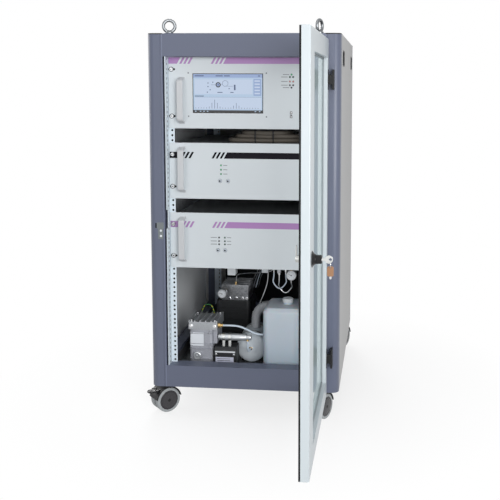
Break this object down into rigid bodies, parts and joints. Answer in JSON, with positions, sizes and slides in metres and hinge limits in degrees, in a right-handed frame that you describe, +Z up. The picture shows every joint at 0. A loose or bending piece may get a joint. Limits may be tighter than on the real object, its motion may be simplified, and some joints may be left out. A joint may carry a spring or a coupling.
{
  "type": "gas chromatograph rack",
  "caption": "Wheeled 19-inch rack cabinet with a glazed swing door, holding gas chromatograph units and a gas generator above a bay with compressors, a tank and a canister.",
  "frame": {"origin": "on the floor under the middle of the cabinet", "axes": "+X to the right seen from the front, +Y to the back, +Z up; the front faces -Y and the door stands open by a quarter turn at the right"},
  "size_m": [0.6414, 1.3595, 1.265],
  "materials": {
    "frame_paint": "satin blue-grey powder coat",
    "skin_paint": "fine-textured light grey powder coat",
    "door_paint": "satin off-white powder coat",
    "rail_paint": "satin pale grey",
    "zinc_steel": "zinc-plated",
    "hinge_black": "satin black",
    "black_plastic": "matt moulded",
    "unit_panel_paint": "satin silver-grey",
    "chassis_steel": "plain folded sheet",
    "handle_paint": "satin pale grey",
    "screen": "lit display behind clear plastic",
    "lamp": "translucent lens",
    "button_black": "semi-gloss",
    "oven_steel": "plain sheet",
    "column_brown": "coated fused silica on a cage",
    "circuit_board": "green laminate",
    "glass": "clear with a pale green edge",
    "rubber_black": "matt",
    "key_metal": "nickel-plated",
    "caster_zinc": "zinc-plated",
    "tyre_grey": "grey non-marking tread",
    "compressor_paint": "light grey painted casting",
    "head_metal": "finned casting",
    "pump_black": "black painted casting",
    "tank_paint": "light grey paint",
    "filter_metal": "turned, bright",
    "canister_plastic": "translucent white",
    "gauge_white": "white dial behind clear plastic",
    "line_white": "smooth"
  },
  "bodies": {
    "cabinet": {"corner_posts": "frame_paint", "corner_caps": "black_plastic", "front_crossbars": "frame_paint", "frame_beams": "frame_paint", "base_plate": "chassis_steel", "roof_panel": "skin_paint", "side_panels": "skin_paint", "rear_panel": "skin_paint", "lifting_eyebolts": "zinc_steel", "front_rack_rails": "rail_paint", "rear_rack_rails": "rail_paint", "chassis_supports": "zinc_steel", "hinge_brackets": "hinge_black", "upper_unit_panel": "unit_panel_paint", "upper_unit_chassis": "chassis_steel", "touch_screen": "screen", "generator_panel": "unit_panel_paint", "generator_chassis": "chassis_steel", "lower_unit_panel": "unit_panel_paint", "lower_unit_chassis": "chassis_steel", "panel_handles": "handle_paint", "indicator_lamps": "lamp", "column_ovens": "oven_steel", "capillary_columns": "column_brown", "detectors": "oven_steel", "electronics_boards": "circuit_board", "electrolysis_stack": "oven_steel", "caster_plates": "caster_zinc", "compressor_body": "compressor_paint", "compressor_head": "head_metal", "rear_compressor": "pump_black", "air_reservoir": "tank_paint", "control_box": "black_plastic", "filter_cylinder": "filter_metal", "water_canister": "canister_plastic", "pressure_gauges": "gauge_white", "tubing": "line_white"},
    "door": {"door_frame": "door_paint", "door_glass": "glass", "door_gasket": "rubber_black", "door_hinge_leaves": "hinge_black", "latch_rosette": "black_plastic"},
    "latch": {"latch_knob": "black_plastic", "latch_cam": "zinc_steel"},
    "key": {"door_key": "key_metal"},
    "key_ring": {"key_ring": "key_metal"},
    "generator_button_left": {"generator_button_left": "button_black"},
    "generator_button_right": {"generator_button_right": "button_black"},
    "lower_button_left": {"lower_button_left": "button_black"},
    "lower_button_right": {"lower_button_right": "button_black"},
    "swivel_front_left": {"caster_housing_front_left": "black_plastic"},
    "wheels_front_left": {"caster_wheels_front_left": "tyre_grey"},
    "brake_front_left": {"brake_pedal_front_left": "black_plastic"},
    "swivel_front_right": {"caster_housing_front_right": "black_plastic"},
    "wheels_front_right": {"caster_wheels_front_right": "tyre_grey"},
    "brake_front_right": {"brake_pedal_front_right": "black_plastic"},
    "swivel_rear_left": {"caster_housing_rear_left": "black_plastic"},
    "wheels_rear_left": {"caster_wheels_rear_left": "tyre_grey"},
    "swivel_rear_right": {"caster_housing_rear_right": "black_plastic"},
    "wheels_rear_right": {"caster_wheels_rear_right": "tyre_grey"}
  },
  "joints": [
    {"name": "door_swing", "type": "hinge", "parent": "cabinet", "child": "door", "pos_m": [0.2585, -0.4235, 0.65], "axis": [0, 0, 1], "range_deg": [-90, 30]},
    {"name": "latch_turn", "type": "hinge", "parent": "door", "child": "latch", "pos_m": [0.263, -0.911, 0.642], "axis": [1, 0, 0], "range_deg": [0, 90]},
    {"name": "key_turn", "type": "hinge", "parent": "latch", "child": "key", "pos_m": [0.288, -0.911, 0.642], "axis": [1, 0, 0], "range_deg": [0, 90]},
    {"name": "key_ring_swing", "type": "hinge", "parent": "key", "child": "key_ring", "pos_m": [0.308, -0.911, 0.6399], "axis": [0, 1, 0], "range_deg": [-25, 25]},
    {"name": "generator_button_left_press", "type": "slide", "parent": "cabinet", "child": "generator_button_left", "axis": [0, 1, 0], "range_m": [0, 0.002], "stiffness_N_per_m": 400},
    {"name": "generator_button_right_press", "type": "slide", "parent": "cabinet", "child": "generator_button_right", "axis": [0, 1, 0], "range_m": [0, 0.002], "stiffness_N_per_m": 400},
    {"name": "lower_button_left_press", "type": "slide", "parent": "cabinet", "child": "lower_button_left", "axis": [0, 1, 0], "range_m": [0, 0.002], "stiffness_N_per_m": 400},
    {"name": "lower_button_right_press", "type": "slide", "parent": "cabinet", "child": "lower_button_right", "axis": [0, 1, 0], "range_m": [0, 0.002], "stiffness_N_per_m": 400},
    {"name": "swivel_front_left", "type": "hinge", "parent": "cabinet", "child": "swivel_front_left", "pos_m": [-0.25, -0.325, 0.09], "axis": [0, 0, 1], "continuous": true},
    {"name": "wheel_spin_front_left", "type": "hinge", "parent": "swivel_front_left", "child": "wheels_front_left", "pos_m": [-0.27194, -0.34546, 0.04], "axis": [0.682, -0.7314, 0], "continuous": true},
    {"name": "brake_front_left", "type": "hinge", "parent": "swivel_front_left", "child": "brake_front_left", "pos_m": [-0.29902, -0.37072, 0.073], "axis": [0.682, -0.7314, 0], "range_deg": [0, 12]},
    {"name": "swivel_front_right", "type": "hinge", "parent": "cabinet", "child": "swivel_front_right", "pos_m": [0.25, -0.325, 0.09], "axis": [0, 0, 1], "continuous": true},
    {"name": "wheel_spin_front_right", "type": "hinge", "parent": "swivel_front_right", "child": "wheels_front_right", "pos_m": [0.23732, -0.35219, 0.04], "axis": [0.9063, -0.4226, 0], "continuous": true},
    {"name": "brake_front_right", "type": "hinge", "parent": "swivel_front_right", "child": "brake_front_right", "pos_m": [0.22167, -0.38575, 0.073], "axis": [0.9063, -0.4226, 0], "range_deg": [0, 12]},
    {"name": "swivel_rear_left", "type": "hinge", "parent": "cabinet", "child": "swivel_rear_left", "pos_m": [-0.25, 0.325, 0.09], "axis": [0, 0, 1], "continuous": true},
    {"name": "wheel_spin_rear_left", "type": "hinge", "parent": "swivel_rear_left", "child": "wheels_rear_left", "pos_m": [-0.26124, 0.35282, 0.04], "axis": [-0.9272, -0.3746, 0], "continuous": true},
    {"name": "swivel_rear_right", "type": "hinge", "parent": "cabinet", "child": "swivel_rear_right", "pos_m": [0.25, 0.325, 0.09], "axis": [0, 0, 1], "continuous": true},
    {"name": "wheel_spin_rear_right", "type": "hinge", "parent": "swivel_rear_right", "child": "wheels_rear_right", "pos_m": [0.26124, 0.35282, 0.04], "axis": [-0.9272, 0.3746, 0], "continuous": true}
  ]
}
